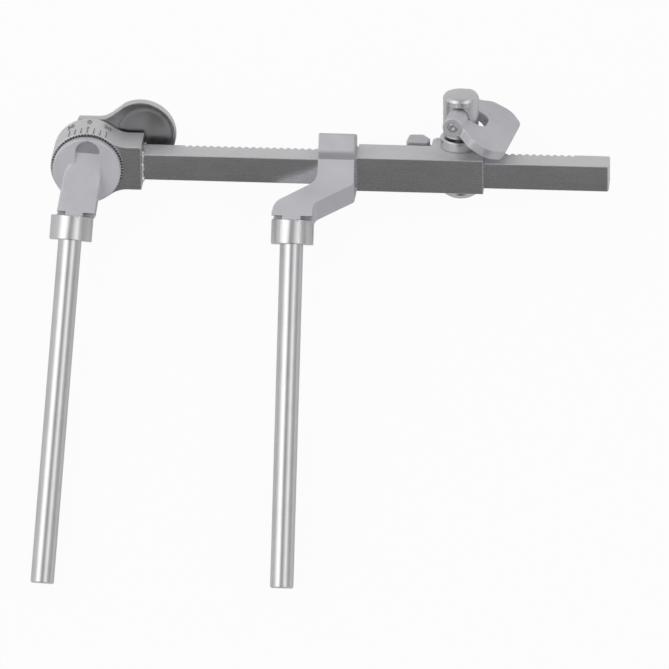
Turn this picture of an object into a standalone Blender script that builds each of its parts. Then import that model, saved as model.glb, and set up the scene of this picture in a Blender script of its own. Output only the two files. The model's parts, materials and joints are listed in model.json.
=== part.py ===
"""Hinged distractor: rack bar, toothed hinge arm, sliding carriage with pinion, wing key and pawl."""
import bpy
import bmesh
import math
from mathutils import Matrix, Vector

# All lengths are millimetres. In the drawing frame X runs along the bar away from the hinge,
# Y runs from the front to the back of the instrument and Z runs from the tubes up to the wing key.
# The hinge axis is the Y axis through X = 0 and Z = 0.
MM = 0.001

RUN = 0.05
GAP = 0.1
SLIDE = 0.1

BAR = 8.2
BAR_HALF = BAR / 2
BAR_START = 16.3
BAR_END = 155.85
RACK_PITCH = 2.1
RACK_TEETH = 56
RACK_DEPTH = 1.1

HUB_R = 11.05
HUB_FRONT = -1.4
HUB_BACK = 10.4
NECK_HALF = 6.85
NECK_END = 16.2
DISC_R = 10.25
DISC_FRONT = -4.1
POCKET_FLOOR = -2.6
TOOTH_DEPTH = 0.55
HINGE_TEETH = 72
HINGE_OPEN = 0.3
ARM_TURN = math.radians(3.29)

TUBE_TILT = math.radians(25.0)
TUBE_Y = 1.4
PLATE_FRONT = 5.8
PLATE_THICK = 6.5
TUBE_R = 3.5
TUBE_BORE = 2.0
TUBE_TOP = 17.7
PLATE_END = 14.1
COLLAR_TOP = 15.15
COLLAR_END = 22.4
COLLAR_R = 6.2
LEFT_X = -3.59
LEFT_DROP = 0.75
LEFT_TIP = 126.0
RIGHT_X = 61.64
RIGHT_TIP = 125.1

LEVER_FRONT = 10.7
LEVER_BACK = 13.9

CAR_LEFT = 80.67
CAR_RIGHT = 118.43
CAR_FRONT = -1.35
CAR_BACK = 9.55
CAR_HALF = 5.45
BLOCK_LEFT = 69.3
BLOCK_RIGHT = 80.1
BLOCK_HALF = 8.6

PINION_X = 111.05
RACK_START = PINION_X - 39.5 * RACK_PITCH
PINION_TEETH = 8
PINION_R = PINION_TEETH * RACK_PITCH / (2 * math.pi)
PINION_Y = BAR - 0.67 + PINION_R + 0.12
JOURNAL_R = 2.6
HOUSING_R = 6.2
WING_Z = 15.9
WING_YAW = math.radians(8.0)
WING_DROP = math.radians(27.7)
PIN_R = 1.5
PAWL_X = 104.8
PAWL_Y = 13.4

STEEL = {
    "satin": (0.62, 0.62, 0.63, 0.38),
    "ground": (0.42, 0.42, 0.43, 0.30),
    "bright": (0.70, 0.70, 0.71, 0.18),
    "braze": (0.72, 0.70, 0.64, 0.25),
}


def clear_scene():
    for item in list(bpy.data.objects):
        bpy.data.objects.remove(item, do_unlink=True)


def steel(node, kind):
    red, green, blue, rough = STEEL[kind]
    mat = bpy.data.materials.new(node + "_" + kind)
    mat.use_nodes = True
    shader = mat.node_tree.nodes["Principled BSDF"]
    shader.inputs["Base Color"].default_value = (red, green, blue, 1.0)
    shader.inputs["Metallic"].default_value = 1.0
    shader.inputs["Roughness"].default_value = rough
    return mat


def solid(name, bm):
    bmesh.ops.remove_doubles(bm, verts=bm.verts, dist=0.00005)
    bmesh.ops.recalc_face_normals(bm, faces=bm.faces)
    mesh = bpy.data.meshes.new(name)
    bm.to_mesh(mesh)
    bm.free()
    obj = bpy.data.objects.new(name, mesh)
    bpy.context.scene.collection.objects.link(obj)
    return obj


def loft(name, rings, looped=False):
    """Skin a row of point rings; the ends are capped unless the row is looped."""
    bm = bmesh.new()
    rows = [[bm.verts.new(point) for point in ring] for ring in rings]
    count = len(rows[0])
    pairs = list(zip(rows, rows[1:]))
    if looped:
        pairs.append((rows[-1], rows[0]))
    for low, high in pairs:
        for i in range(count):
            j = (i + 1) % count
            bm.faces.new((low[i], low[j], high[j], high[i]))
    if not looped:
        bm.faces.new(rows[0])
        bm.faces.new(rows[-1])
    return solid(name, bm)


def prism(name, outline, place, start, end):
    """Extrude an outline between two depths; place turns (a, b, depth) into a point."""
    return loft(name, [[place(a, b, depth) for a, b in outline] for depth in (start, end)])


def turned(name, profile, place, segments=36, wave=None):
    """Turn a profile of (radius, height) points; wave raises the heights by angle step."""
    bm = bmesh.new()
    rows = []
    for k in range(segments):
        angle = 2 * math.pi * k / segments
        row = []
        for i, (radius, height) in enumerate(profile):
            lift = wave(k, i) if wave else 0.0
            spot = place(radius * math.cos(angle), radius * math.sin(angle), height + lift)
            row.append(bm.verts.new(spot))
        rows.append(row)
    for k in range(segments):
        low, high = rows[k], rows[(k + 1) % segments]
        for i in range(len(profile)):
            j = (i + 1) % len(profile)
            if profile[i][0] < 1e-6 and profile[j][0] < 1e-6:
                continue
            if profile[i][0] < 1e-6:
                bm.faces.new((low[i], low[j], high[j]))
            elif profile[j][0] < 1e-6:
                bm.faces.new((low[i], low[j], high[i]))
            else:
                bm.faces.new((low[i], low[j], high[j], high[i]))
    return solid(name, bm)


def box(name, x0, x1, y0, y1, z0, z1):
    outline = [(x0, z0), (x1, z0), (x1, z1), (x0, z1)]
    return prism(name, outline, facing, y0, y1)


def facing(a, b, depth):
    return Vector((a, depth, b))


def upright(a, b, depth):
    return Vector((a, b, depth))


def along_bar(a, b, depth):
    return Vector((depth, a, b))


def about(x, y, z, turn):
    """Place function for a round piece about an axis through a point."""
    return lambda a, b, depth: Vector((x, y, z)) + turn(a, b, depth)


def arc(cx, cy, radius, start, end, steps):
    points = []
    for i in range(steps + 1):
        angle = math.radians(start + (end - start) * i / steps)
        points.append((cx + radius * math.cos(angle), cy + radius * math.sin(angle)))
    return points


def rounded(corners, steps=6):
    """Round the corners (x, y, radius) of a closed outline."""
    outline = []
    count = len(corners)
    for i, (x, y, radius) in enumerate(corners):
        here = Vector((x, y))
        if radius <= 0:
            outline.append((x, y))
            continue
        before = (Vector(corners[i - 1][:2]) - here).normalized()
        after = (Vector(corners[(i + 1) % count][:2]) - here).normalized()
        half = before.angle(after) / 2
        reach = radius / math.tan(half)
        centre = here + (before + after).normalized() * (radius / math.sin(half))
        first = here + before * reach - centre
        last = here + after * reach - centre
        sweep = first.angle_signed(last)
        for k in range(steps + 1):
            turn = Matrix.Rotation(-sweep * k / steps, 2)
            outline.append(tuple(centre + turn @ first))
    return outline


def apply_modifiers(obj):
    bpy.context.view_layer.update()
    graph = bpy.context.evaluated_depsgraph_get()
    mesh = bpy.data.meshes.new_from_object(obj.evaluated_get(graph))
    obj.modifiers.clear()
    obj.data = mesh
    return obj


def combine(obj, others, operation):
    for other in others:
        tool = obj.modifiers.new("join", "BOOLEAN")
        tool.operation = operation
        tool.solver = "EXACT"
        tool.object = other
        apply_modifiers(obj)
        bpy.data.objects.remove(other, do_unlink=True)
    return obj


def join(obj, *others):
    return combine(obj, others, "UNION")


def cut(obj, *others):
    return combine(obj, others, "DIFFERENCE")


def common(obj, *others):
    return combine(obj, others, "INTERSECT")


def soften(obj, width, segments=2, limit=30.0):
    tool = obj.modifiers.new("soften", "BEVEL")
    tool.width = width
    tool.segments = segments
    tool.limit_method = "ANGLE"
    tool.angle_limit = math.radians(limit)
    tool.use_clamp_overlap = True
    return apply_modifiers(obj)


def turn_about_hinge(obj):
    """Turn a mesh about the hinge axis, tubes outwards."""
    obj.data.transform(Matrix.Rotation(ARM_TURN, 4, "Y"))
    return obj


def arm_space(x0, drop=0.0):
    """Frame of an arm: start point, down along the tube, and out of the plate."""
    down = Vector((0.0, -math.sin(TUBE_TILT), -math.cos(TUBE_TILT)))
    out = Vector((0.0, -math.cos(TUBE_TILT), math.sin(TUBE_TILT)))
    base = Vector((x0, TUBE_Y, 0.0)) + down * drop
    return base, down, out


def on_plate(x0, drop=0.0):
    base, down, out = arm_space(x0, drop)
    return lambda a, b, depth: base + Vector((a, 0, 0)) + down * b + out * depth


def round_tube(x0, drop=0.0):
    base, down, out = arm_space(x0, drop)
    return lambda a, b, depth: base + Vector((a, 0, 0)) + out * b + down * depth


def make_rack_bar():
    first = RACK_START
    outline = [(9.6, 0.0), (BAR_END, 0.0), (BAR_END, BAR)]
    for k in range(RACK_TEETH, 0, -1):
        x = first + k * RACK_PITCH
        outline.append((x - 0.30, BAR))
        outline.append((x - 0.72, BAR - RACK_DEPTH))
        outline.append((x - 1.38, BAR - RACK_DEPTH))
        outline.append((x - 1.80, BAR))
    outline.append((9.6, BAR))
    bar = prism("rack_bar", outline, upright, -BAR_HALF, BAR_HALF)
    corners = [(0.0, -BAR_HALF, 0.35), (BAR, -BAR_HALF, 0.25), (BAR, BAR_HALF, 0.25), (0.0, BAR_HALF, 0.35)]
    section = rounded(corners, 2)
    inner = rounded([(1.3, -2.8, 0.3), (6.9, -2.8, 0.3), (6.9, 2.8, 0.3), (1.3, 2.8, 0.3)], 2)
    tip = [(0.2 + a * (BAR - 0.7) / BAR, b * (BAR_HALF - 0.25) / BAR_HALF) for a, b in section]
    rings = []
    stations = [(inner, 9.8), (inner, BAR_START), (section, BAR_START + 0.001)]
    stations += [(section, BAR_END - 0.3), (tip, BAR_END)]
    for outline, x in stations:
        rings.append([along_bar(a, b, x) for a, b in outline])
    envelope = loft("envelope", rings)
    return common(bar, envelope)


def make_hinge_block():
    fillet = 8.0
    reach = math.sqrt((HUB_R + fillet) ** 2 - (NECK_HALF + fillet) ** 2)
    lean = math.degrees(math.atan2(NECK_HALF + fillet, reach))
    outline = arc(0, 0, HUB_R, lean, 360 - lean, 54)
    outline += arc(reach, -NECK_HALF - fillet, fillet, 180 - lean, 90, 8)
    outline += [(NECK_END, -NECK_HALF), (NECK_END, NECK_HALF)]
    outline += arc(reach, NECK_HALF + fillet, fillet, 270, 180 + lean, 8)
    block = prism("hinge_block", outline, facing, HUB_FRONT, HUB_BACK)
    soften(block, 0.25, 2, 40)
    groove = [(6.35, HUB_FRONT - 1), (10.15, HUB_FRONT - 1), (10.15, 0.75), (6.35, 0.75)]
    bore = [(0, -3), (5.8, -3), (5.8, 0.2), (4.0, 0.2), (4.0, 12), (0, 12)]
    counter = [(0, 9.4), (6.5, 9.4), (6.5, 12), (0, 12)]
    socket = box("socket", 9.4, 18.0, 1.25, 6.95, -2.85, 2.85)
    cut(block, turned("groove", groove, facing, 72), turned("bore", bore, facing, 40))
    cut(block, turned("counter", counter, facing, 48), socket)
    for step in range(-3, 4):
        long = 1.7 if step % 3 == 0 else 1.2
        mark = box("mark", -0.14, 0.14, -0.95, -0.95 + long, HUB_R - 0.18, HUB_R + 0.5)
        mark.data.transform(Matrix.Rotation(math.radians(10 * step), 4, "Y"))
        cut(block, mark)
    turns = [math.pi * i / 8 for i in range(16)]
    ring_out = [(0.45 * math.cos(t), 3.0 + 0.75 * math.sin(t)) for t in turns]
    ring_in = [(a * 0.45, 3.0 + (b - 3.0) * 0.66) for a, b in ring_out]
    zero = prism("zero", ring_out, upright, HUB_R - 0.16, HUB_R + 0.5)
    cut(zero, prism("zero_core", ring_in, upright, HUB_R - 1, HUB_R + 1))
    return cut(block, zero)


def make_braze_bead():
    corners = [(-0.07, -BAR_HALF - 0.07, 0.3), (BAR + 0.07, -BAR_HALF - 0.07, 0.3)]
    corners += [(BAR + 0.07, BAR_HALF + 0.07, 0.3), (-0.07, BAR_HALF + 0.07, 0.3)]
    path = rounded(corners, 3)
    centre = Vector((BAR_HALF, 0.0))
    loop = []
    for i, point in enumerate(path):
        following = path[(i + 1) % len(path)]
        span = (Vector(following) - Vector(point)).length
        steps = max(1, round(span / 0.5))
        for k in range(steps):
            loop.append(Vector(point).lerp(Vector(following), k / steps))
    rings = []
    for i, point in enumerate(loop):
        size = 0.62 + 0.16 * math.sin(i * 0.9) + 0.10 * math.sin(i * 2.3 + 1.0)
        out = (point - centre).normalized()
        ring = []
        x = NECK_END + 0.06
        for along, away in ((0.0, 0.0), (1.0, 0.0), (0.82, 0.5), (0.5, 0.82), (0.0, 1.0)):
            spot = point + out * away * size
            ring.append(Vector((x + along * size, spot.x, spot.y)))
        rings.append(ring)
    return loft("braze_bead", rings, looped=True)


def make_tooth_ring():
    low = HUB_FRONT + TOOTH_DEPTH
    profile = [(6.4, 0.7), (10.1, 0.7), (10.1, low), (6.4, low)]
    wave = lambda k, i: -TOOTH_DEPTH if k % 2 and i > 1 else 0.0
    return turned("tooth_ring", profile, facing, 2 * HINGE_TEETH, wave)


def make_collar(x0, drop):
    """Half-round collar with a flat back that the tube is set in."""
    outline = arc(0, 0, COLLAR_R, 0, 180, 24) + [(-COLLAR_R, -4.8), (COLLAR_R, -4.8)]
    collar = prism("collar", outline, round_tube(x0, drop), COLLAR_TOP, COLLAR_END)
    return soften(collar, 0.25, 2, 50)


def cut_collar(arm, x0, drop, turn):
    """Bore for the tube, and the slot left at each side between the plate and the collar."""
    place = on_plate(x0, drop)
    left, right = (-1.6, 3.6) if drop else (-2.6, 2.9)
    bore = [(0, TUBE_TOP - 0.1), (TUBE_R + 0.06, TUBE_TOP - 0.1), (TUBE_R + 0.06, 30), (0, 30)]
    tools = [turned("bore", bore, round_tube(x0, drop), 40)]
    for start, end in ((-9.0, left), (right, 6.25 if not drop else 9.0)):
        slot = [(start, PLATE_END), (end, PLATE_END), (end, COLLAR_TOP), (start, COLLAR_TOP)]
        tools.append(prism("slot", slot, place, 2.2, 9.0))
    for tool in tools:
        if turn:
            turn_about_hinge(tool)
        cut(arm, tool)
    return arm


def make_hinge_arm():
    crest = HUB_FRONT - HINGE_OPEN
    root = crest - TOOTH_DEPTH
    back = crest - 0.25
    profile = [(0, DISC_FRONT), (DISC_R - 0.25, DISC_FRONT), (DISC_R, DISC_FRONT + 0.25)]
    profile += [(DISC_R, root), (6.4, root), (6.2, back), (0, back)]
    wave = lambda k, i: TOOTH_DEPTH if k % 2 and i in (3, 4) else 0.0
    disc = turned("hinge_arm", profile, facing, 2 * HINGE_TEETH, wave)
    place = on_plate(LEFT_X, LEFT_DROP)
    corners = [(-0.6, -2.6, 1.0), (-3.1, 3.4, 4.0), (-4.3, PLATE_END + 0.5, 0), (-4.3, COLLAR_TOP + 1, 0)]
    corners += [(6.2, COLLAR_TOP + 1, 0), (7.1, PLATE_END + 0.5, 0), (8.0, 4.0, 5.0), (7.4, -2.6, 1.0)]
    plate = prism("plate", rounded(corners), place, PLATE_FRONT - PLATE_THICK, PLATE_FRONT)
    soften(plate, 0.3, 2, 50)
    join(plate, make_collar(LEFT_X, LEFT_DROP))
    turn_about_hinge(plate)
    keep = [(0, crest - 0.15), (12.3, crest - 0.15), (12.3, 20), (0, 20)]
    cut(plate, turned("keep", keep, facing, 72))
    join(disc, plate)
    channel = box("channel", -3.65, 3.65, -9.0, POCKET_FLOOR, -6.0, 5.9)
    ahead = [(-9, -9), (12, -9), (12, 9), (-9, 9)]
    common(channel, prism("front", ahead, place, PLATE_FRONT, PLATE_FRONT + 8))
    arch = arc(0, 5.9, 3.65, 0, 180, 18) + [(-3.65, 5.6), (3.65, 5.6)]
    pocket = prism("pocket", arch, facing, DISC_FRONT - 2, POCKET_FLOOR)
    join(channel, pocket)
    cut(disc, turn_about_hinge(channel))
    tick = box("tick", -0.14, 0.14, DISC_FRONT - 1, DISC_FRONT + 0.2, 9.55, 11)
    cut(disc, turn_about_hinge(tick))
    return cut_collar(disc, LEFT_X, LEFT_DROP, True)


def make_hinge_stud():
    face = HUB_FRONT - HINGE_OPEN - 0.25 + GAP
    profile = [(0, face), (5.3, face), (5.3, 0.0), (3.0, 0.0), (3.0, 13.2), (2.7, 13.5)]
    profile += [(1.25, 13.5), (1.25, 7.9), (0, 7.9)]
    return turned("hinge_stud", profile, facing)


def make_hub_bush():
    profile = [(3.0 + RUN, 0.3), (3.95, 0.3), (3.95, 9.3), (3.0 + RUN, 9.3)]
    return turned("hub_bush", profile, facing)


def make_spring_disc():
    profile = [(3.3, 9.5), (6.2, 9.9), (6.2, 10.3), (3.3, 9.9)]
    return turned("hinge_spring", profile, facing)


def make_lever():
    paddle = (15.0, 5.8, 10.5)
    corners = [(-3.6, 10.6), (2.6, 10.6)]
    outline = list(corners)
    outline += [(4.4, 10.9), (6.2, 11.9), (7.8, 13.2), (9.2, 14.3)]
    outline += arc(paddle[0], paddle[1], paddle[2], 118, -98, 30)
    outline += [(9.5, -5.2), (7.2, -6.1), (4.6, -6.6)]
    outline += arc(0, 0, 7.2, -75, -195, 18)
    outline += [(-6.2, 5.6), (-4.6, 8.4)]
    lever = prism("clamp_lever", outline, facing, LEVER_FRONT, LEVER_BACK)
    soften(lever, 0.4, 2, 40)
    dish = [(0, 0.8), (6.6, 0.75), (7.7, 0.55), (8.3, 0.15), (8.5, -0.5), (0, -0.5)]
    cut(lever, turned("dish", dish, about(16.3, LEVER_FRONT, 6.4, facing), 48))
    bore = [(0, 9), (3.0 + RUN, 9), (3.0 + RUN, 15), (0, 15)]
    return cut(lever, turned("bore", bore, facing, 48))


def make_lever_washer():
    profile = [(1.4, 14.0), (4.9, 14.0), (4.9, 14.4), (1.4, 14.4)]
    return turned("lever_washer", profile, facing)


def make_lever_screw():
    profile = [(0, 8.2), (1.2, 8.2), (1.2, 14.5), (3.9, 14.5), (3.9, 15.6), (3.6, 15.9), (0, 15.9)]
    screw = turned("lever_screw", profile, facing)
    key = prism("key", arc(0, 0, 1.4, 0, 300, 5), facing, 14.9, 17)
    return cut(screw, key)


def make_tube(name, x0, drop, tip):
    end = tip - drop
    profile = [(0, TUBE_TOP), (TUBE_R, TUBE_TOP), (TUBE_R, end - 0.4), (TUBE_R - 0.4, end)]
    profile += [(TUBE_BORE + 0.2, end), (TUBE_BORE, end - 0.2), (TUBE_BORE, 30), (0, 30)]
    return turned(name, profile, round_tube(x0, drop), 40)


def make_carriage():
    corners = [(CAR_FRONT, -CAR_HALF, 0.35), (CAR_BACK, -CAR_HALF, 0.35)]
    corners += [(CAR_BACK, CAR_HALF, 0.35), (CAR_FRONT, CAR_HALF, 0.35)]
    section = rounded(corners, 2)
    sleeve = prism("carriage", section, along_bar, CAR_LEFT, CAR_RIGHT)
    corners = [(-0.75, -4.9, 0.3), (8.95, -4.9, 0.3), (8.95, 4.9, 0.3), (-0.75, 4.9, 0.3)]
    spigot_section = rounded(corners, 2)
    spigot = prism("spigot", spigot_section, along_bar, BLOCK_RIGHT - 1.5, CAR_LEFT + 1)
    inside = CAR_HALF - 0.01
    wall = [(0, -inside), (HOUSING_R, -inside), (HOUSING_R, inside), (0, inside)]
    housing = turned("housing", wall, about(PINION_X, PINION_Y, 0, upright), 44)
    corners = [(PAWL_X - 2.4, PAWL_Y + 2.4, 2.3), (PAWL_X - 2.4, 8.4, 0)]
    corners += [(PINION_X, 8.4, 0), (PINION_X, PAWL_Y + 2.4, 0.5)]
    lug = rounded(corners)
    upper = prism("upper_lug", lug, upright, 3.7, CAR_HALF - 0.02)
    lower = prism("lower_lug", lug, upright, -CAR_HALF + 0.02, -3.7)
    join(sleeve, spigot, housing, upper, lower)
    above = BAR_HALF + SLIDE
    channel = box("channel", BLOCK_RIGHT - 3, CAR_RIGHT + 3, -SLIDE, BAR + SLIDE, -above, above)
    well = [(0, -9), (3.7, -9), (3.7, 9), (0, 9)]
    bore = turned("bore", well, about(PINION_X, PINION_Y, 0, upright), 48)
    window = box("window", 91.2, 98.2, 7.0, 11.0, -3.6, 3.6)
    pin = [(0, -9), (1.05, -9), (1.05, 9), (0, 9)]
    relief = [(0, -3.6), (2.45, -3.6), (2.45, 3.6), (0, 3.6)]
    pivot = about(PAWL_X, PAWL_Y, 0, upright)
    pin_hole = turned("pin", pin, pivot, 24)
    return cut(sleeve, channel, bore, window, pin_hole, turned("relief", relief, pivot, 32))


def make_carriage_arm():
    """Slanted block round the bar with its goose neck, swept back and down from the front outline."""
    place = on_plate(RIGHT_X)
    left = BLOCK_LEFT - RIGHT_X - 0.02
    right = BLOCK_RIGHT - RIGHT_X - 0.02
    corners = [(left, -3.1, 0), (left, 3.3, 5.0), (-5.1, 10.0, 4.5), (-5.8, 13.2, 2.0)]
    corners += [(-5.9, COLLAR_TOP + 1, 0)]
    corners += [(6.2, COLLAR_TOP + 1, 0), (6.5, 10.4, 2.5), (right, 4.3, 1.0), (right, -3.1, 0)]
    outline = rounded(corners, 8)
    sweep = Vector((0.0, 3.8, -7.3))
    front = [place(a, b, PLATE_FRONT) for a, b in outline]
    neck = loft("neck", [front, [point + sweep for point in front]])
    below = prism("below", [(-12, 16.5), (6.15, 16.5), (6.15, 40), (-12, 40)], place, -14, 12)
    cut(neck, below)
    soften(neck, 0.3, 2, 50)
    knee = place(0, -3.1, PLATE_FRONT)
    shape = [(knee.y + 0.01, -8.0, 0), (knee.y, knee.z, 3.0), (knee.y - 0.15, knee.z + 2.6, 2.5)]
    shape += [(0.2, 12.5, 0.6), (CAR_BACK, 8.4, 1.0), (CAR_BACK, -BLOCK_HALF, 0.6), (0.5, -BLOCK_HALF, 0)]
    block = prism("carriage_arm", rounded(shape, 5), along_bar, BLOCK_LEFT, BLOCK_RIGHT)
    soften(block, 0.3, 2, 60)
    join(block, neck, make_collar(RIGHT_X, 0.0))
    bore = box("bore", 60, 90, -SLIDE, BAR + SLIDE, -BAR_HALF - SLIDE, BAR_HALF + SLIDE)
    pocket = box("pocket", BLOCK_RIGHT - 1.6, 90, -0.85, 9.05, -5.0, 5.0)
    cut(block, bore, pocket)
    return cut_collar(block, RIGHT_X, 0.0, False)


def make_boss_ring():
    bore = JOURNAL_R + RUN
    profile = [(bore, 4.4), (3.65, 4.4), (3.65, 5.5), (6.1, 5.5), (6.15, 5.6)]
    profile += [(6.15, 8.2), (5.8, 8.5), (bore, 8.5)]
    return turned("boss_ring", profile, about(PINION_X, PINION_Y, 0, upright), 44)


def make_lower_bush():
    profile = [(JOURNAL_R + RUN, -5.45), (3.65, -5.45), (3.65, -4.4), (JOURNAL_R + RUN, -4.4)]
    return turned("lower_bush", profile, about(PINION_X, PINION_Y, 0, upright))


def make_pinion_shaft():
    outline = []
    tip = PINION_R + 0.42
    flank = [(1.95, 0.52), (PINION_R, 0.34), (tip, 0.12), (tip, -0.12), (PINION_R, -0.34), (1.95, -0.52)]
    for k in range(PINION_TEETH):
        turn = 2 * math.pi * k / PINION_TEETH - math.pi / 2
        for radius, half in flank:
            angle = turn - math.atan2(half, radius)
            outline.append((radius * math.cos(angle), radius * math.sin(angle)))
    place = about(PINION_X, PINION_Y, 0, upright)
    teeth = prism("pinion_shaft", outline, place, -4.2, 4.2)
    core = [(0, -10.0), (1.7, -10.0), (1.7, -5.6), (JOURNAL_R, -5.6), (JOURNAL_R, -4.19), (1.9, -4.19)]
    core += [(1.9, 4.19), (JOURNAL_R, 4.19), (JOURNAL_R, 8.9), (0, 8.9)]
    join(teeth, turned("core", core, place))
    square = [(-1.7, -1.7), (1.7, -1.7), (1.7, 1.7), (-1.7, 1.7)]
    return join(teeth, prism("drive", square, place, 8.0, 13.4))


def make_bottom_cap():
    profile = [(1.75, -5.75), (5.4, -5.75), (5.6, -5.95), (5.6, -8.6), (5.2, -9.3), (4.0, -10.1)]
    profile += [(2.2, -10.55), (0, -10.7), (0, -10.1), (1.75, -10.1)]
    return turned("bottom_cap", profile, about(PINION_X, PINION_Y, 0, upright), 40)


def wing_axes():
    pin = Vector((-math.sin(WING_YAW), -math.cos(WING_YAW), 0.0))
    level = Vector((math.cos(WING_YAW), -math.sin(WING_YAW), 0.0))
    out = level * math.cos(WING_DROP) - Vector((0, 0, 1)) * math.sin(WING_DROP)
    return pin, level, out


def make_key_head():
    pin, level, out = wing_axes()
    profile = [(0, 8.95), (4.9, 8.95), (5.3, 9.35), (5.3, 20.2), (5.35, 21.0), (4.9, 21.8)]
    profile += [(3.6, 22.3), (1.8, 22.5), (0, 22.55)]
    place = about(PINION_X, PINION_Y, 0, upright)
    head = turned("key_head", profile, place, 40)
    centre = Vector((PINION_X, PINION_Y, 0))
    for side in (-1, 1):
        flat = [(-9, 12.4), (9, 12.4), (9, 19.5), (-9, 19.5)]
        spot = lambda a, b, depth: centre + level * a + Vector((0, 0, b)) + pin * depth * side
        cut(head, prism("flat", flat, spot, 3.9, 9))
    hole = [(0, -9), (PIN_R + 0.04, -9), (PIN_R + 0.04, 9), (0, 9)]
    axis = lambda a, b, depth: centre + Vector((0, 0, WING_Z)) + level * a + Vector((0, 0, b)) + pin * depth
    square = [(-1.76, -1.76), (1.76, -1.76), (1.76, 1.76), (-1.76, 1.76)]
    return cut(head, turned("hole", hole, axis, 32), prism("socket", square, place, 8, 13.5))


def make_wing_pin():
    pin, level, out = wing_axes()
    centre = Vector((PINION_X, PINION_Y, WING_Z))
    axis = lambda a, b, depth: centre + level * a + Vector((0, 0, b)) + pin * depth
    half = [(PIN_R, 11.8), (1.3, 12.0), (0.5, 12.0), (0, 11.7)]
    profile = [(radius, -depth) for radius, depth in reversed(half)] + half
    return turned("wing_pin", profile, axis, 32)


def make_wing():
    pin, level, out = wing_axes()
    face = pin.cross(out)
    centre = Vector((PINION_X, PINION_Y, WING_Z))
    flat = lambda a, b, depth: centre + pin * a + out * b + face * depth
    side = [(4.4, 8.3, 3.0), (4.4, 0.0, 0), (11.7, 0.0, 0), (11.7, 3.2, 2.0), (15.2, 6.8, 3.0)]
    side += [(15.7, 13.0, 4.5), (11.4, 17.3, 4.0)]
    corners = side + [(-a, b, radius) for a, b, radius in reversed(side)]
    plate = prism("wing_key", rounded(corners, 6), flat, -1.6, 1.6)
    soften(plate, 0.4, 2, 50)
    for way in (-1, 1):
        eye = [(0, 4.25), (2.9, 4.25), (3.15, 4.5), (3.15, 11.5), (2.8, 11.9), (0, 11.9)]
        spot = lambda a, b, depth: centre + out * a + face * b + pin * depth * way
        join(plate, turned("eye", eye, spot, 28))
    hole = [(0, -13), (PIN_R + RUN, -13), (PIN_R + RUN, 13), (0, 13)]
    axis = lambda a, b, depth: centre + out * a + face * b + pin * depth
    return cut(plate, turned("hole", hole, axis, 32))


def make_pawl():
    corners = [(92.6, BAR + 0.25, 0.3), (94.2, BAR + 0.25, 0.3), (96.6, 11.2, 2.0), (PAWL_X, 11.4, 0)]
    corners += [(PAWL_X + 2.0, 11.4, 1.9)]
    corners += [(PAWL_X + 2.0, 15.4, 1.9), (PAWL_X - 2, 15.4, 0), (97.0, 14.6, 2.0), (92.6, 12.0, 1.0)]
    outline = rounded(corners)
    pawl = prism("pawl", outline, upright, -3.4, 3.4)
    soften(pawl, 0.25, 2, 50)
    corners = [(94.6, 10.9, 0.6), (101.3, 10.5, 1.0), (101.7, 13.4, 1.0), (99.4, 16.6, 1.2), (95.2, 16.4, 1.0)]
    pad = prism("pad", rounded(corners), upright, 2.6, 6.1)
    soften(pad, 0.4, 2, 50)
    join(pawl, pad)
    hole = [(0, -9), (1.0 + RUN, -9), (1.0 + RUN, 9), (0, 9)]
    room = [(0, -1.6), (2.35, -1.6), (2.35, 1.6), (0, 1.6)]
    spot = about(PAWL_X, PAWL_Y, 0, upright)
    gate = box("gate", PAWL_X, 110, 10, 17, -1.6, 1.6)
    return cut(pawl, turned("hole", hole, spot, 24), turned("room", room, spot, 32), gate)


def make_pawl_pin():
    profile = [(0, -6.0), (1.1, -6.0), (1.25, -5.8), (1.25, -5.5), (1.0, -5.5)]
    profile += [(1.0, 5.3), (0.9, 5.44), (0, 5.44)]
    return turned("pawl_pin", profile, about(PAWL_X, PAWL_Y, 0, upright), 32)


def make_pawl_spring():
    wire = 0.22
    radius = 1.75
    turns = 4
    steps = 60
    rings = []
    for i in range(steps + 1):
        angle = 2 * math.pi * turns * i / steps
        height = -1.2 + 2.4 * i / steps
        out = Vector((math.cos(angle), math.sin(angle), 0))
        centre = Vector((PAWL_X, PAWL_Y, height)) + out * radius
        ring = []
        for k in range(6):
            turn = 2 * math.pi * k / 6
            ring.append(centre + out * wire * math.cos(turn) + Vector((0, 0, 1)) * wire * math.sin(turn))
        rings.append(ring)
    return loft("pawl_spring", rings)


def rest_frame():
    """Turn the drawing frame so that the instrument lies on its back, tubes towards -Y."""
    down = Vector((0.0, -math.sin(TUBE_TILT), -math.cos(TUBE_TILT)))
    under = Vector((0.0, math.cos(TUBE_TILT), -math.sin(TUBE_TILT)))
    tube = Vector((LEFT_X, TUBE_Y, 0)) + down * (LEFT_TIP - 0.4) + under * TUBE_R
    tube = Matrix.Rotation(ARM_TURN, 3, "Y") @ tube
    cap = Vector((PINION_X, PINION_Y + 5.6, -8.6))
    lever = Vector((0.0, 15.9, -3.6))
    up = (cap - lever).cross(tube - lever).normalized()
    if up.y > 0:
        up = -up
    right = (Vector((1, 0, 0)) - up * up.x).normalized()
    ahead = up.cross(right)
    return Matrix((right, ahead, up)).to_4x4()


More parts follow.
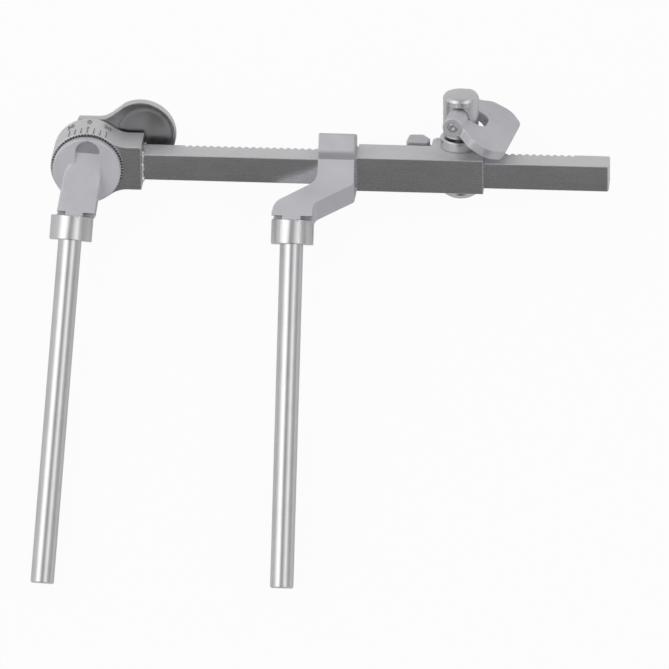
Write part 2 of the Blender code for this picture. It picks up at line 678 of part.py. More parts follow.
def main():
    clear_scene()
    hinge = Vector((0, TUBE_Y, 0))
    pinion = Vector((PINION_X, PINION_Y, 0))
    wing = Vector((PINION_X, PINION_Y, WING_Z))
    pivot = Vector((PAWL_X, PAWL_Y, 0))
    slide = Vector((CAR_LEFT, BAR_HALF, 0))
    pieces = [
        (make_rack_bar(), "ground", Vector((0, 0, 0))),
        (make_hinge_block(), "ground", Vector((0, 0, 0))),
        (make_braze_bead(), "braze", Vector((0, 0, 0))),
        (make_tooth_ring(), "satin", Vector((0, 0, 0))),
        (make_hub_bush(), "bright", Vector((0, 0, 0))),
        (make_spring_disc(), "bright", Vector((0, 0, 0))),
        (make_hinge_arm(), "satin", hinge),
        (make_hinge_stud(), "satin", hinge),
        (turn_about_hinge(make_tube("left_tube", LEFT_X, LEFT_DROP, LEFT_TIP)), "bright", hinge),
        (make_lever(), "satin", hinge),
        (make_lever_washer(), "bright", hinge),
        (make_lever_screw(), "bright", hinge),
        (make_carriage(), "ground", slide),
        (make_carriage_arm(), "satin", slide),
        (make_tube("right_tube", RIGHT_X, 0.0, RIGHT_TIP), "bright", slide),
        (make_boss_ring(), "bright", slide),
        (make_lower_bush(), "bright", slide),
        (make_pawl_pin(), "bright", slide),
        (make_pinion_shaft(), "ground", pinion),
        (make_bottom_cap(), "satin", pinion),
        (make_key_head(), "satin", pinion),
        (make_wing_pin(), "bright", pinion),
        (make_wing(), "satin", wing),
        (make_pawl(), "satin", pivot),
        (make_pawl_spring(), "bright", pivot),
    ]
    turn = rest_frame()
    low = Vector((1e9, 1e9, 1e9))
    high = -low
    for obj, kind, origin in pieces:
        obj.data.transform(turn)
        for vert in obj.data.vertices:
            for i in range(3):
                low[i] = min(low[i], vert.co[i])
                high[i] = max(high[i], vert.co[i])
    shift = Vector((-(low.x + high.x) / 2, -(low.y + high.y) / 2, -low.z))
    for obj, kind, origin in pieces:
        spot = turn @ origin + shift
        obj.data.transform(Matrix.Translation(shift - spot))
        obj.data.transform(Matrix.Scale(MM, 4))
        obj.location = spot * MM
        obj.data.materials.clear()
        obj.data.materials.append(steel(obj.name, kind))
        obj.data.shade_smooth()
        obj.data.set_sharp_from_angle(angle=math.radians(35))


main()
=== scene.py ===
"""Looks of the hinged distractor: steel finishes, angle scale, pale table, studio light and camera.

Sizes are in millimetres and angles in degrees, except where a comment says otherwise.
"""
import json
import math

import bmesh
import bpy
from mathutils import Matrix, Vector

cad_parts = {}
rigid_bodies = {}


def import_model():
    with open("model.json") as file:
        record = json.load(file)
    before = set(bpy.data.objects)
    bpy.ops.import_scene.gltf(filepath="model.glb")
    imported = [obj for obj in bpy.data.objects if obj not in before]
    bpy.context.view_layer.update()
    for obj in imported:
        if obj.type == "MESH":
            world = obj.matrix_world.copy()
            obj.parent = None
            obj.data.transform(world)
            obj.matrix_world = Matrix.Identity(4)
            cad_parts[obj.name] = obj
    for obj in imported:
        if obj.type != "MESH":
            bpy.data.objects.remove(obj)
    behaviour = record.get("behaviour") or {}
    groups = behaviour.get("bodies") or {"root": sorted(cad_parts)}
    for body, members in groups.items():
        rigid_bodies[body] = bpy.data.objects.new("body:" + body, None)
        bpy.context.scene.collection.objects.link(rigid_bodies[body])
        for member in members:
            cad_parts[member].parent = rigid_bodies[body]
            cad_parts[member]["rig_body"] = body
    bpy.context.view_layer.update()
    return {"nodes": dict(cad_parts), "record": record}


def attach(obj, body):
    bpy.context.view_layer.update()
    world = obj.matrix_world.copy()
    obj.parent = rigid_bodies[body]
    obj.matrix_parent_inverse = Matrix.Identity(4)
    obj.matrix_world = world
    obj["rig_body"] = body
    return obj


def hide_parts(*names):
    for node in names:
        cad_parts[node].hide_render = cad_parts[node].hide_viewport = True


MM = 0.001

# Camera at the photograph's angle, far away behind a long lens. Its target and distance are in metres.
CAMERA_AZIMUTH = 25.438
CAMERA_ELEVATION = 83.158
CAMERA_ROLL = -23.585
CAMERA_TARGET = Vector((0.003018, 0.002789, -0.007907))
CAMERA_DISTANCE = 4.0
CAMERA_LENS = 717.85
CAMERA_SENSOR = 36.0
CAMERA_NEAR = 0.1
CAMERA_FAR = 20.0

# Drawing frame of the part, with the hinge's centre as its origin: X runs along the bar, Y from its front
# face to its back and Z up the bar's own height. The matrix and the shift take it to where the part lies.
DRAWING = Matrix((
    (0.999743, 0.019633, -0.011313),
    (0.0, 0.499264, 0.86645),
    (0.022659, -0.866227, 0.499136),
))
DRAWING_SHIFT = Vector((-71.3307, 48.7306, 15.5728))

# Hinge: radii of hub and disc, and how far back their front faces and the floor of the arched pocket lie.
HUB_R = 11.05
DISC_R = 10.25
HUB_FRONT = -1.4
DISC_FRONT = -4.1
POCKET_FLOOR = -2.6

# Crown of small teeth round the disc, let into the hub's front face: pale teeth over a dark ground of painted
# shade.
CROWN_INNER = 10.2
CROWN_OUTER = 10.75
CROWN_SINK = 0.05
CROWN_TEETH = 72
CROWN_TOOTH_SHARE = 0.44
CROWN_TOOTH_RISE = 0.08
CROWN_PAINTED_SHADE_BLOCKS = 48
CROWN_PAINTED_SHADE_RISE = 0.01

# Angle scale on the hub: a line every ten degrees, longer at the zero and the two ends, and three numerals.
# The two figures of each 30 stand on either side of its line, by THIRTY_SPREAD.
SCALE_STEP = 10
SCALE_STEPS = 3
SCALE_FRONT = -0.9
SCALE_SHORT_BACK = 2.8
SCALE_LONG_BACK = 3.7
SCALE_LINE_HALF = 0.11
ZERO_BACK = 7.4
ZERO_SIZE = (0.55, 1.0)
ZERO_LINE_HALF = 0.12
THIRTY_BACK = 6.6
THIRTY_SPREAD = (-0.7, 0.65)
THREE_BOWL = 0.45
THIRTY_ZERO_SIZE = (0.45, 0.9)
THIRTY_LINE_HALF = 0.10
INK_RISE = 0.012
INK_THICK = 0.15

# Arms that end in a round collar: a point on the line of the tube's axis, and the way down the tube. The left
# one stands turned about the hinge by ARM_TURN.
TUBE_TILT = math.radians(25.0)
TUBE_DOWN = Vector((0.0, -math.sin(TUBE_TILT), -math.cos(TUBE_TILT)))
TUBE_BACK = 1.4
LEFT_TUBE_X = -3.59
LEFT_TUBE_DROP = 0.75
RIGHT_TUBE_X = 61.64
ARM_TURN = Matrix.Rotation(math.radians(3.29), 3, "Y")
COLLARS = {
    "hinge_arm": (
        ARM_TURN @ (Vector((LEFT_TUBE_X, TUBE_BACK, 0.0)) + TUBE_DOWN * LEFT_TUBE_DROP),
        ARM_TURN @ TUBE_DOWN,
    ),
    "carriage_arm": (Vector((RIGHT_TUBE_X, TUBE_BACK, 0.0)), TUBE_DOWN),
}

# What is trimmed off the collars, measured across the tube, out of it and down it from the point above. The
# turned finish begins at COLLAR_TOP.
TRIM_FRONT_R = 6.21
TRIM_FRONT_TOP = 15.15
TRIM_SIDE_R = 6.23
TRIM_SIDE_TOP = 16.2
TRIM_SIDE_OUT = 0.5
TRIM_REACH = 14.0
TRIM_END = 30.0
COLLAR_TOP = 15.2

# Finishes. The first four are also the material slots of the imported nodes.
SATIN = "satin"
GROUND = "ground"
BRIGHT = "bright"
BRAZE = "braze"
# The dish and pocket finishes are darker copies of steel that paint shade, and the face finish is a lighter
# one that paints light.
PAINTED_SHADE_DISH = "dish"
PAINTED_SHADE_POCKET = "pocket"
PAINTED_LIGHT_FACE = "face"
TURNED = "turned"

# Nodes whose finish differs from their slot's, and the further finishes of nodes that have several.
FINISH = {"clamp_lever": TURNED, "key_head": TURNED, "bottom_cap": TURNED, "boss_ring": TURNED}
# Of the further finishes, those of the pocket and of the lever's dish paint shade, and that of the disc's
# front face paints light.
FURTHER = {
    "hinge_arm": (BRIGHT, PAINTED_SHADE_POCKET, PAINTED_LIGHT_FACE),
    "carriage_arm": (BRIGHT, PAINTED_SHADE_POCKET, PAINTED_LIGHT_FACE),
    "clamp_lever": (PAINTED_SHADE_DISH,),
}

# A face lies in a plane if it is within PLANE_GAP of it, and looks to the front if the Y of its normal is
# below FRONTWARDS.
PLANE_GAP = 0.03
FRONTWARDS = -0.5

# Cleaning of the meshes. Corners closer than MERGE metres become one, edges over SHARP stay crisp, and faces
# within LEVEL of each other count as one plane. Such a plane is a flat face if it is larger than FLAT_AREA
# square millimetres and less than FLAT_GENTLE_SHARE of its border is gentle.
MERGE = 0.00001
SHARP = math.radians(24)
LEVEL = math.radians(0.7)
FLAT_AREA = 2.5
FLAT_GENTLE_SHARE = 0.45
FACE_WEIGHT = 100

# Relief of the steel: clouds and specks in repeats per metre, depth of the grain and rounding of the edges.
CLOUD_SCALE = 90.0
SPECK_SCALE = 5200.0
GRAIN_DEPTH = 0.02
EDGE_ROUND = 0.28
EDGE_SAMPLES = 6

# How the noises are mixed into tone, gloss and height, where tone and gloss change over them, and how far the
# gloss goes either way. TOP_FACING is the cosine to the bar's height from which a face counts as its top.
TONE_CLOUD_SHARE = 0.6
GLOSS_GRAIN_SHARE = 0.7
HEIGHT_GRAIN_SHARE = 0.8
TONE_STOPS = (0.34, 0.5, 0.66)
GLOSS_STOPS = (0.35, 0.65)
GLOSS_SPREAD = (0.95, 1.06)
TOP_FACING = (0.3, 0.5)

# Studio light, as grey values from left to right (STRIPS) and from front to back (REACH and BASE). STRIPS
# holds two soft strips that the tubes mirror, REACH their share and BASE the light that is added to them.
STRIPS = (
    (0.0, 0.26), (0.10, 0.34), (0.19, 0.80), (0.31, 0.5), (0.40, 0.03), (0.5, 0.0),
    (0.6, 0.06), (0.72, 0.5), (0.83, 0.76), (0.92, 0.15), (1.0, 0.0),
)
REACH = ((0.0, 0.35), (0.12, 0.5), (0.35, 1.0), (0.65, 1.0), (1.0, 0.5))
BASE = ((0.0, 0.09), (0.12, 0.11), (0.35, 0.42), (1.0, 0.42))

# Soft lamp on the left: distance and size in metres, power in watts.
KEY_AZIMUTH = -90.0
KEY_ELEVATION = 52.0
KEY_DISTANCE = 1.2
KEY_WIDTH = 0.5
KEY_HEIGHT = 1.2
KEY_POWER = 0.8

# Table, in metres: half its side, and how far it lies under the part so that the two don't touch.
TABLE_HALF = 4.0
TABLE_DROP = 0.0002
TABLE_VALUE = 0.92
TABLE_WHITE_SHARE = 0.94


def grey(value, cool=0.0):
    """Grey colour, made slightly bluer by the share given as cool."""
    return (value, value * (1.0 - 0.2 * cool), min(1.0, value * (1.0 + cool)))


def direction(azimuth, elevation):
    """Unit vector towards a place seen at an azimuth round the object and an elevation above the table."""
    a = math.radians(azimuth)
    e = math.radians(elevation)
    return Vector((math.sin(a) * math.cos(e), -math.cos(a) * math.cos(e), math.sin(e)))


def placed(x, y, z):
    """Place in metres, where the part lies, of a point given in the drawing frame."""
    return (DRAWING @ Vector((x, y, z)) + DRAWING_SHIFT) * MM


def new_object(name, bm):
    """Object in the scene whose mesh is taken from bm, which is freed."""
    mesh = bpy.data.meshes.new(name)
    bm.to_mesh(mesh)
    bm.free()
    obj = bpy.data.objects.new(name, mesh)
    bpy.context.scene.collection.objects.link(obj)
    return obj


class Nodes:
    """Short way to add and join shader nodes."""

    def __init__(self, tree):
        self.tree = tree

    def add(self, kind, values=None, **settings):
        node = self.tree.nodes.new(kind)
        for name, value in settings.items():
            setattr(node, name, value)
        for name, value in (values or {}).items():
            node.inputs[name].default_value = value
        return node

    def link(self, source, target):
        self.tree.links.new(source, target)

    def math(self, operation, a, b):
        node = self.add("ShaderNodeMath", operation=operation)
        for i, value in enumerate((a, b)):
            if isinstance(value, (int, float)):
                node.inputs[i].default_value = value
            else:
                self.link(value, node.inputs[i])
        return node.outputs[0]

    def blend(self, a, b, share):
        """Mean of two values, with this share of the first."""
        return self.math("ADD", self.math("MULTIPLY", a, share), self.math("MULTIPLY", b, 1.0 - share))

    def span(self, value, low, high, out_low, out_high):
        """Value moved from one range to another and held within it."""
        node = self.add("ShaderNodeMapRange", {1: low, 2: high, 3: out_low, 4: out_high})
        self.link(value, node.inputs[0])
        return node.outputs[0]

    def ramp(self, value, stops):
        """Colour ramp over (position, colour) stops."""
        node = self.add("ShaderNodeValToRGB")
        ramp = node.color_ramp
        first, last = stops[0], stops[-1]
        ramp.elements[0].position = first[0]
        ramp.elements[0].color = (*first[1], 1)
        ramp.elements[1].position = last[0]
        ramp.elements[1].color = (*last[1], 1)
        for place, colour in stops[1:-1]:
            ramp.elements.new(place).color = (*colour, 1)
        self.link(value, node.inputs[0])
        return node.outputs[0]

    def grey_ramp(self, value, stops):
        """Colour ramp over (position, grey value) stops."""
        return self.ramp(value, [(place, grey(shade)) for place, shade in stops])

    def texture(self, coords, scale, stretch=(1, 1, 1), detail=4.0, rough=0.6):
        """Noise over the coordinates, drawn out where its stretch is under one."""
        mapping = self.add("ShaderNodeMapping", {"Scale": stretch})
        self.link(coords, mapping.inputs["Vector"])
        noise = self.add("ShaderNodeTexNoise", {"Scale": scale, "Detail": detail, "Roughness": rough})
        self.link(mapping.outputs[0], noise.inputs["Vector"])
        return noise.outputs["Fac"]


def new_material(name, metallic):
    """Material with its principled shader, ready for nodes."""
    mat = bpy.data.materials.new(name)
    mat.use_nodes = True
    shader = mat.node_tree.nodes["Principled BSDF"]
    shader.inputs["Metallic"].default_value = metallic
    return mat, Nodes(mat.node_tree), shader


def steel(name, value, rough, grain, bump, stretch=(1.0, 1.0, 1.0), spread=0.04, stain=0.03,
          top_rough=None, cool=0.015):
    """Steel with cloudy tone, grain, fine specks and a slight change of gloss.

    The tone varies around value by spread, and stain darkens its dark end further. Where top_rough is given,
    it is the roughness of faces that look up the bar's height.
    """
    mat, nodes, shader = new_material(name, 1.0)
    coords = nodes.add("ShaderNodeTexCoord").outputs
    cloud = nodes.texture(coords["Object"], CLOUD_SCALE, detail=5.0)
    streak = nodes.texture(coords["Object"], grain, stretch, detail=6.0, rough=0.7)
    speck = nodes.texture(coords["Object"], SPECK_SCALE, detail=2.0)

    dark = grey(value * (1 - spread - stain), cool)
    middle = grey(value, cool)
    light = grey(min(1.0, value * (1 + spread)), cool)
    stops = list(zip(TONE_STOPS, (dark, middle, light)))
    tone = nodes.ramp(nodes.blend(cloud, streak, TONE_CLOUD_SHARE), stops)
    nodes.link(tone, shader.inputs["Base Color"])

    glossy, dull = (rough * share for share in GLOSS_SPREAD)
    finish = nodes.span(nodes.blend(streak, cloud, GLOSS_GRAIN_SHARE), *GLOSS_STOPS, glossy, dull)
    if top_rough:
        facing = nodes.add("ShaderNodeVectorMath", {1: DRAWING.col[2]}, operation="DOT_PRODUCT")
        nodes.link(coords["Normal"], facing.inputs[0])
        blasted = nodes.span(facing.outputs["Value"], *TOP_FACING, 1.0, top_rough / rough)
        finish = nodes.math("MULTIPLY", finish, blasted)
    nodes.link(finish, shader.inputs["Roughness"])

    edge = nodes.add("ShaderNodeBevel", {"Radius": EDGE_ROUND * MM}, samples=EDGE_SAMPLES)
    relief = nodes.add("ShaderNodeBump", {"Strength": bump, "Distance": GRAIN_DEPTH * MM})
    nodes.link(edge.outputs[0], relief.inputs["Normal"])
    nodes.link(nodes.blend(streak, speck, HEIGHT_GRAIN_SHARE), relief.inputs["Height"])
    nodes.link(relief.outputs[0], shader.inputs["Normal"])
    return mat


def ink_and_painted_shade(name, dark, light):
    """Matt dark material between two grey values, worn unevenly: the scale's print, and the painted shade in
    the crown's gaps.
    """
    mat, nodes, shader = new_material(name, 0.0)
    coords = nodes.add("ShaderNodeTexCoord").outputs["Object"]
    wear = nodes.texture(coords, 2600.0, detail=3.0)
    nodes.link(nodes.grey_ramp(wear, ((0.35, dark), (0.65, light))), shader.inputs["Base Color"])
    nodes.link(nodes.span(wear, 0.3, 0.7, 0.5, 0.7), shader.inputs["Roughness"])
    return mat


def make_finishes():
    """Material of every finish."""
    lengthwise = (0.05, 1.0, 1.0)
    around = (1.0, 0.25, 1.0)
    return {
        SATIN: steel("satin_steel", 0.71, 0.54, 2600.0, 0.35, spread=0.06, stain=0.05, cool=0.045),
        GROUND: steel("ground_steel", 0.80, 0.27, 1500.0, 0.05, lengthwise, 0.02, 0.02, top_rough=0.62),
        # Painted shade: a darker copy of the satin for the floor of the arched pocket.
        PAINTED_SHADE_POCKET: steel("pocket_painted_shade_steel", 0.68, 0.50, 2600.0, 0.30, spread=0.06, stain=0.05, cool=0.045),
        # Painted light: a lighter copy of the satin for the disc's front face.
        PAINTED_LIGHT_FACE: steel("disc_painted_light_steel", 0.95, 0.58, 2600.0, 0.30, cool=0.045),
        # Painted shade: a dark copy of steel for the front-looking faces of the lever's dish.
        PAINTED_SHADE_DISH: steel("dish_painted_shade_steel", 0.35, 0.30, 1500.0, 0.08),
        TURNED: steel("fine_turned_steel", 0.72, 0.25, 1500.0, 0.12),
        BRIGHT: steel("turned_steel", 0.72, 0.20, 1200.0, 0.15, around),
        BRAZE: steel("braze_silver", 0.84, 0.16, 700.0, 0.6, spread=0.10, stain=0.08),
    }


def plane_from(start, number, region):
    """Number all faces that lie in one plane with the first one, and return them."""
    region[start] = number
    found = [start]
    for face in found:
        for edge in face.edges:
            for other in edge.link_faces:
                if other not in region and face.normal.angle(other.normal, 0.0) < LEVEL:
                    region[other] = number
                    found.append(other)
    return found


def is_flat(faces, region):
    """True for a run of faces large enough, with a border that is mostly crisp."""
    area = sum(face.calc_area() for face in faces)
    gentle = 0.0
    border = 0.0
    for face in faces:
        for edge in face.edges:
            if len({region.get(other) for other in edge.link_faces}) > 1:
                border += edge.calc_length()
                if edge.calc_face_angle(0.0) < SHARP:
                    gentle += edge.calc_length()
    return area > FLAT_AREA * MM * MM and gentle < FLAT_GENTLE_SHARE * border


def part_flats(bm):
    """Part the flat faces from their curved neighbours, so that their shading stays even."""
    bm.normal_update()
    region = {}
    flat = []
    for face in bm.faces:
        if face not in region:
            flat.append(is_flat(plane_from(face, len(flat), region), region))
    for edge in bm.edges:
        numbers = {region[face] for face in edge.link_faces}
        parted = len(numbers) > 1 and any(flat[number] for number in numbers)
        edge.smooth = not parted and edge.calc_face_angle(0.0) < SHARP


def clean(mesh):
    """Weld the mesh and shade it smooth, with its flat faces and sharp edges kept."""
    bm = bmesh.new()
    bm.from_mesh(mesh)
    bmesh.ops.remove_doubles(bm, verts=bm.verts, dist=MERGE)
    bmesh.ops.dissolve_degenerate(bm, edges=bm.edges, dist=MERGE)
    for face in bm.faces:
        face.smooth = True
    part_flats(bm)
    bm.to_mesh(mesh)
    bm.free()


def trim_block(base, down, outline, top):
    """Closed block that runs down an arm from top, with an outline given as (across it, out of it)."""
    across = Vector((1.0, 0.0, 0.0)) - down * down.x
    across.normalize()
    out = down.cross(across)
    bm = bmesh.new()
    rings = []
    for depth in (top, TRIM_END):
        centre = base + down * depth
        rings.append([bm.verts.new(placed(*(centre + across * a + out * b))) for a, b in outline])
    bm.faces.new(rings[0])
    bm.faces.new(rings[1])
    for i in range(len(outline)):
        j = (i + 1) % len(outline)
        bm.faces.new((rings[0][i], rings[0][j], rings[1][j], rings[1][i]))
    bmesh.ops.recalc_face_normals(bm, faces=bm.faces)
    return new_object("trim_block", bm)


def carve(mesh, to_row, cutter):
    """Mesh with the cutter's room taken away. The cutter is used up."""
    cutter.data.transform(to_row.inverted())
    body = bpy.data.objects.new("carve_body", mesh)
    bpy.context.scene.collection.objects.link(body)
    step = body.modifiers.new("carve", "BOOLEAN")
    step.operation = "DIFFERENCE"
    step.solver = "EXACT"
    step.object = cutter
    carved = bpy.data.meshes.new_from_object(body.evaluated_get(bpy.context.evaluated_depsgraph_get()))
    for obj in (body, cutter):
        bpy.data.objects.remove(obj)
    return carved


def trim_collar(mesh, to_row, base, down):
    """Take off what the plate and the neck leave outside the round of the collar."""
    front = bow(0.0, 0.0, TRIM_FRONT_R, TRIM_FRONT_R, 0, 180, 30)
    front += [(-TRIM_REACH, 0.0), (-TRIM_REACH, TRIM_REACH), (TRIM_REACH, TRIM_REACH), (TRIM_REACH, 0.0)]
    mesh = carve(mesh, to_row, trim_block(base, down, front, TRIM_FRONT_TOP))
    for way in (-1, 1):
        near = TRIM_SIDE_R * way
        far = TRIM_REACH * way
        side = [(near, -TRIM_REACH), (near, TRIM_SIDE_OUT), (far, TRIM_SIDE_OUT), (far, -TRIM_REACH)]
        mesh = carve(mesh, to_row, trim_block(base, down, side, TRIM_SIDE_TOP))
    return mesh


def further_finish(node, place, normal):
    """Finish of a face that differs from the rest of its node, or None; some of them are painted shade, one
    painted light.
    """
    # The lever's front-looking faces get painted shade, a dark copy of its steel.
    if node == "clamp_lever":
        return PAINTED_SHADE_DISH if normal.y < FRONTWARDS else None
    base, down = COLLARS[node]
    if (place - base).dot(down) > COLLAR_TOP:
        return BRIGHT
    # Painted shade on the pocket's floor, from a darker copy of the satin.
    if place.x < DISC_R and abs(place.y - POCKET_FLOOR) < PLANE_GAP:
        return PAINTED_SHADE_POCKET
    # Painted light on the disc's front face, from a lighter copy of the satin.
    if place.x < DISC_R and abs(place.y - DISC_FRONT) < PLANE_GAP:
        return PAINTED_LIGHT_FACE
    return None


def finish_faces(mesh, to_row, node, finishes):
    """Give the faces of a node that has several finishes the ones that are theirs."""
    names = FURTHER[node]
    for name in names:
        mesh.materials.append(finishes[name])
    to_drawing = DRAWING.transposed()
    for face in mesh.polygons:
        place = to_drawing @ ((to_row @ face.center) / MM - DRAWING_SHIFT)
        normal = to_drawing @ (to_row.to_3x3() @ face.normal)
        name = further_finish(node, place, normal)
        if name:
            face.material_index = 1 + names.index(name)


def dress(node, source, slot, finishes):
    """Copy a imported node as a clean, smooth-shaded piece in its finish, which rides in the node's place."""
    to_row = source.matrix_world
    mesh = source.data.copy()
    if node in COLLARS:
        mesh = trim_collar(mesh, to_row, *COLLARS[node])
    piece = bpy.data.objects.new(node + "_dressed", mesh)
    bpy.context.scene.collection.objects.link(piece)
    clean(mesh)
    mesh.materials.clear()
    mesh.materials.append(finishes[FINISH.get(node, slot)])
    if node in FURTHER:
        finish_faces(mesh, to_row, node, finishes)
    even = piece.modifiers.new("flat_faces", "WEIGHTED_NORMAL")
    even.keep_sharp = True
    even.weight = FACE_WEIGHT
    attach(piece, source["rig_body"])
    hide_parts(node)


def on_hub(along, back):
    """Point just over the hub's round top, given as a distance round it from the top line."""
    turn = along / HUB_R
    radius = HUB_R + INK_RISE
    return placed(radius * math.sin(turn), back, radius * math.cos(turn))


def stroke(bm, points, half):
    """Flat ribbon along points given as (round the hub, back), closed where the last one is the first."""
    closed = points[0] == points[-1]
    last = len(points) - 1
    sides = []
    for i, point in enumerate(points):
        before = points[max(i - 1, 0)]
        after = points[min(i + 1, last)]
        if closed and i in (0, last):
            before, after = points[-2], points[1]
        way = Vector((after[0] - before[0], after[1] - before[1])).normalized()
        out = Vector((-way.y, way.x)) * half
        left = bm.verts.new(on_hub(point[0] + out.x, point[1] + out.y))
        right = bm.verts.new(on_hub(point[0] - out.x, point[1] - out.y))
        sides.append((left, right))
    for (a, b), (c, d) in zip(sides, sides[1:]):
        bm.faces.new((a, c, d, b))


def bow(x, y, wide, tall, start, end, steps):
    """Points along part of an ellipse around (x, y)."""
    points = []
    for i in range(steps + 1):
        t = math.radians(start + (end - start) * i / steps)
        points.append((x + wide * math.cos(t), y + tall * math.sin(t)))
    return points


def draw_zero(bm, x, y, size, half):
    stroke(bm, bow(x, y, *size, 0, 360, 16), half)


def draw_three(bm, x, y, bowl, half):
    """Two open bowls, one behind the other."""
    stroke(bm, bow(x, y + bowl, bowl, bowl, 150, -90, 8), half)
    stroke(bm, bow(x, y - bowl, bowl, bowl, 90, -150, 8), half)


def make_scale():
    """Dark marking of the angle scale on the hub."""
    bm = bmesh.new()
    for step in range(-SCALE_STEPS, SCALE_STEPS + 1):
        along = math.radians(SCALE_STEP * step) * HUB_R
        back = SCALE_LONG_BACK if step % SCALE_STEPS == 0 else SCALE_SHORT_BACK
        stroke(bm, [(along, SCALE_FRONT), (along, back)], SCALE_LINE_HALF)
    draw_zero(bm, 0.0, ZERO_BACK, ZERO_SIZE, ZERO_LINE_HALF)
    for step in (-SCALE_STEPS, SCALE_STEPS):
        along = math.radians(SCALE_STEP * step) * HUB_R
        draw_zero(bm, along + THIRTY_SPREAD[1], THIRTY_BACK, THIRTY_ZERO_SIZE, THIRTY_LINE_HALF)
        draw_three(bm, along + THIRTY_SPREAD[0], THIRTY_BACK, THREE_BOWL, THIRTY_LINE_HALF)
    scale = new_object("angle_scale", bm)
    depth = scale.modifiers.new("depth", "SOLIDIFY")
    depth.thickness = INK_THICK * MM
    depth.offset = -1.0
    scale.data.materials.append(ink_and_painted_shade("scale_ink", 0.14, 0.28))
    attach(scale, "bar")


def crown_piece(name, count, share, rise, material):
    """Ring of blocks on the hub's front face round the disc, each as wide as its share of the spacing."""
    bm = bmesh.new()
    for k in range(count):
        corners = []
        for side in (-0.5, 0.5):
            turn = 2 * math.pi * (k + side * share) / count
            for radius in (CROWN_INNER, CROWN_OUTER):
                for back in (HUB_FRONT - rise, HUB_FRONT + CROWN_SINK):
                    place = placed(radius * math.sin(turn), back, radius * math.cos(turn))
                    corners.append(bm.verts.new(place))
        bmesh.ops.convex_hull(bm, input=corners)
    crown = new_object(name, bm)
    crown.data.materials.append(material)
    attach(crown, "bar")


def make_crown(finishes):
    """Pale teeth round the disc over painted shade, a dark ground that stands for the shadow in their gaps.
    """
    # Near-black painted shade where the gaps between the teeth lie in shadow.
    shade = ink_and_painted_shade("crown_gap_painted_shade", 0.01, 0.03)
    crown_piece("crown_painted_shade", CROWN_PAINTED_SHADE_BLOCKS, 1.0, CROWN_PAINTED_SHADE_RISE, shade)
    crown_piece("crown_teeth", CROWN_TEETH, CROWN_TOOTH_SHARE, CROWN_TOOTH_RISE, finishes[SATIN])


def make_table():
    """Pale table: nearly even white to the camera, with a trace of shadow, and diffuse white to the part."""
    bm = bmesh.new()
    bmesh.ops.create_grid(bm, x_segments=1, y_segments=1, size=TABLE_HALF)
    table = new_object("table", bm)
    table.location.z = -TABLE_DROP
    mat = bpy.data.materials.new("table_white")
    mat.use_nodes = True
    mat.node_tree.nodes.clear()
    nodes = Nodes(mat.node_tree)
    diffuse = nodes.add("ShaderNodeBsdfDiffuse", {"Color": (*grey(TABLE_VALUE), 1)})
    glow = nodes.add("ShaderNodeEmission", {"Color": (1, 1, 1, 1), "Strength": 1.0})
    path = nodes.add("ShaderNodeLightPath")
    mix = nodes.add("ShaderNodeMixShader")
    out = nodes.add("ShaderNodeOutputMaterial")
    nodes.link(nodes.math("MULTIPLY", path.outputs["Is Camera Ray"], TABLE_WHITE_SHARE), mix.inputs[0])
    nodes.link(diffuse.outputs[0], mix.inputs[1])
    nodes.link(glow.outputs[0], mix.inputs[2])
    nodes.link(mix.outputs[0], out.inputs["Surface"])
    table.data.materials.append(mat)


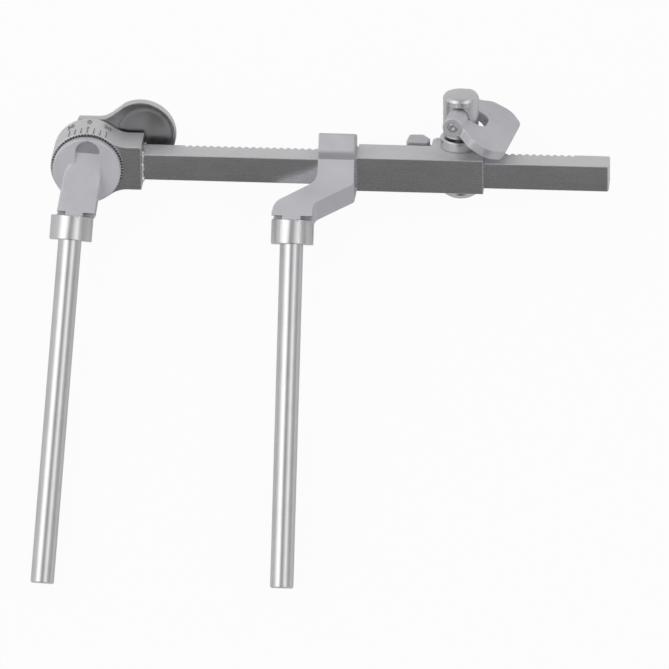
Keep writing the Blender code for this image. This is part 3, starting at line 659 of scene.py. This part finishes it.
def make_world():
    """Studio light that the steel mirrors, with plain white where the camera looks past the table."""
    world = bpy.data.worlds.new("studio")
    bpy.context.scene.world = world
    world.use_nodes = True
    world.node_tree.nodes.clear()
    nodes = Nodes(world.node_tree)
    split = nodes.add("ShaderNodeSeparateXYZ")
    nodes.link(nodes.add("ShaderNodeTexCoord").outputs["Generated"], split.inputs[0])
    across = nodes.span(split.outputs["X"], -1.0, 1.0, 0.0, 1.0)
    back = nodes.span(split.outputs["Y"], -1.0, 1.0, 0.0, 1.0)
    strips = nodes.math("MULTIPLY", nodes.grey_ramp(across, STRIPS), nodes.grey_ramp(back, REACH))
    shade = nodes.math("ADD", strips, nodes.grey_ramp(back, BASE))
    studio = nodes.add("ShaderNodeBackground", {"Strength": 1.0})
    white = nodes.add("ShaderNodeBackground", {"Color": (1, 1, 1, 1), "Strength": 1.0})
    path = nodes.add("ShaderNodeLightPath")
    mix = nodes.add("ShaderNodeMixShader")
    out = nodes.add("ShaderNodeOutputWorld")
    nodes.link(shade, studio.inputs["Color"])
    nodes.link(path.outputs["Is Camera Ray"], mix.inputs[0])
    nodes.link(studio.outputs[0], mix.inputs[1])
    nodes.link(white.outputs[0], mix.inputs[2])
    nodes.link(mix.outputs[0], out.inputs["Surface"])


def make_key_light():
    """Soft lamp on the left, facing the part."""
    light = bpy.data.lights.new("key_strip", "AREA")
    light.shape = "RECTANGLE"
    light.size = KEY_WIDTH
    light.size_y = KEY_HEIGHT
    light.energy = KEY_POWER
    lamp = bpy.data.objects.new("key_strip", light)
    away = direction(KEY_AZIMUTH, KEY_ELEVATION)
    lamp.location = away * KEY_DISTANCE
    lamp.rotation_mode = "QUATERNION"
    lamp.rotation_quaternion = away.to_track_quat("Z", "Y")
    bpy.context.scene.collection.objects.link(lamp)


def make_camera():
    """Camera at the photograph's viewing angle, rolled about its line of sight."""
    data = bpy.data.cameras.new("camera")
    data.sensor_width = CAMERA_SENSOR
    data.lens = CAMERA_LENS
    data.clip_start = CAMERA_NEAR
    data.clip_end = CAMERA_FAR
    camera = bpy.data.objects.new("camera", data)
    azimuth = math.radians(CAMERA_AZIMUTH)
    back = direction(CAMERA_AZIMUTH, CAMERA_ELEVATION)
    level = Vector((math.cos(azimuth), math.sin(azimuth), 0.0))
    above = back.cross(level)
    roll = Matrix.Rotation(math.radians(CAMERA_ROLL), 3, "Z")
    turn = Matrix((level, above, back)).transposed() @ roll
    camera.matrix_world = Matrix.Translation(CAMERA_TARGET + back * CAMERA_DISTANCE) @ turn.to_4x4()
    bpy.context.scene.collection.objects.link(camera)
    bpy.context.scene.camera = camera


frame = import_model()

make_camera()
finishes = make_finishes()
for entry in frame["record"]["subparts"]:
    name = entry["node"]
    dress(name, frame["nodes"][name], entry["material_slot"], finishes)

make_scale()
make_crown(finishes)
make_table()
make_world()
make_key_light()
bpy.context.scene.view_settings.view_transform = "Standard"
